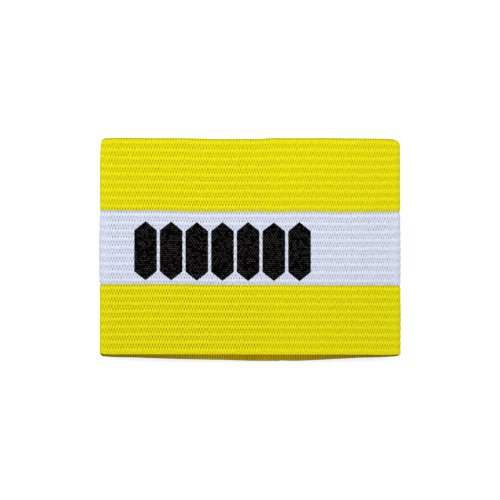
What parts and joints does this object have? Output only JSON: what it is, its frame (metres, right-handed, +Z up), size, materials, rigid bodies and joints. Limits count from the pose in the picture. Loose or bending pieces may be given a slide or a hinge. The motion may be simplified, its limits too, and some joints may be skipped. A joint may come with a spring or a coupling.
{
  "type": "elastic armband",
  "caption": "Stretch armband of ribbed elastic in yellow and white stripes, a wide loop closed by a sewn lap, lying flat.",
  "frame": {"origin": "on the table, under the middle of the flattened loop's box", "axes": "+X along the flattened loop towards its right fold, +Y across the band towards its far edge, +Z up from the table, with the printed front layer on top"},
  "size_m": [0.109, 0.0814, 0.008],
  "materials": {
    "yellow_elastic": "ribbed woven elastic, soft sheen",
    "white_elastic": "ribbed woven elastic, soft sheen, black print on the front",
    "seam_thread": "spun sewing thread"
  },
  "bodies": {
    "root": {"upper_stripe": "yellow_elastic", "centre_stripe": "white_elastic", "lower_stripe": "yellow_elastic"}
  },
  "joints": []
}
